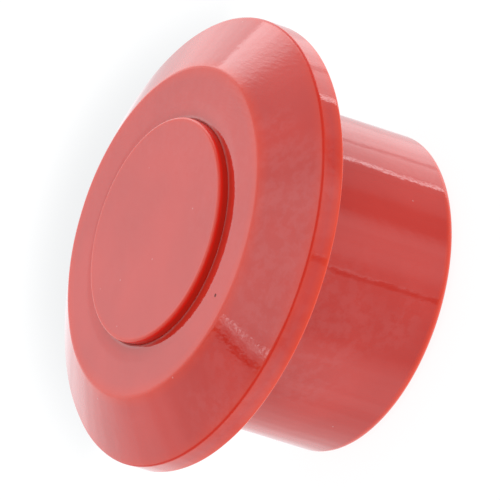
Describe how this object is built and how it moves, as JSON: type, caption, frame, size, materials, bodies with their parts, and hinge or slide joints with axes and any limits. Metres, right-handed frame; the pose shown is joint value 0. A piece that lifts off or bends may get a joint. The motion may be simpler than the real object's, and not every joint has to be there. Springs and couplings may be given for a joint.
{
  "type": "quiz buzzer",
  "caption": "Round quiz buzzer: a spring-return push button set in a wide chamfered flange on a plain barrel, with sounder, coin cell and twist-off battery door inside.",
  "frame": {"origin": "centre of the plane that the three rubber feet stand on", "axes": "+Z along the button's axis, from the feet out through the button; +X and +Y lie in the resting plane, with one lug of the battery door towards +X when it is shut"},
  "size_m": [0.06, 0.06, 0.0331],
  "materials": {
    "red_gloss": "glossy moulded red plastic",
    "button_gloss": "glossy moulded red plastic, polished top",
    "red_satin": "fine satin moulded red plastic",
    "spring_steel": "drawn spring wire",
    "natural_plastic": "uncoloured moulded plastic",
    "board_laminate": "green solder mask on laminate",
    "black_plastic": "moulded black plastic",
    "capacitor_sleeve": "shrink sleeve",
    "resistor_lacquer": "tan lacquer with colour bands",
    "plated_steel": "nickel-plated steel",
    "cell_steel": "drawn stainless can",
    "red_insulation": "soft wire insulation",
    "black_insulation": "soft wire insulation",
    "foot_rubber": "matt black rubber"
  },
  "bodies": {
    "housing": {"housing": "red_gloss", "base_cover": "red_satin", "switch_carrier": "natural_plastic", "return_spring": "spring_steel", "circuit_board": "board_laminate", "switch_body": "black_plastic", "sounder": "black_plastic", "sound_chip": "black_plastic", "capacitor": "capacitor_sleeve", "resistor": "resistor_lacquer", "transistor": "black_plastic", "contact_positive": "plated_steel", "contact_negative": "plated_steel", "battery_wire_red": "red_insulation", "battery_wire_black": "black_insulation", "battery": "cell_steel", "cover_screw_1": "plated_steel", "cover_screw_2": "plated_steel", "cover_screw_3": "plated_steel", "carrier_screw_1": "plated_steel", "carrier_screw_2": "plated_steel", "carrier_screw_3": "plated_steel", "board_screw_1": "plated_steel", "board_screw_2": "plated_steel", "foot_1": "foot_rubber", "foot_2": "foot_rubber", "foot_3": "foot_rubber"},
    "button": {"button_cap": "button_gloss"},
    "switch_plunger": {"switch_plunger": "natural_plastic"},
    "battery_door": {"battery_door": "red_satin"}
  },
  "joints": [
    {"name": "button_press", "type": "slide", "parent": "housing", "child": "button", "axis": [0, 0, -1], "range_m": [0, 0.001], "stiffness_N_per_m": 600, "springref_m": -0.002, "deforming": ["return_spring"]},
    {"name": "plunger_press", "type": "slide", "parent": "housing", "child": "switch_plunger", "axis": [0, 0, -1], "range_m": [0, 0.001]},
    {"name": "battery_door_turn", "type": "hinge", "parent": "housing", "child": "battery_door", "pos_m": [0, 0, 0.0008], "axis": [0, 0, 1], "range_deg": [0, 40]}
  ],
  "couplings": [
    {"joint": "plunger_press", "follows": "button_press", "ratio": 1}
  ]
}
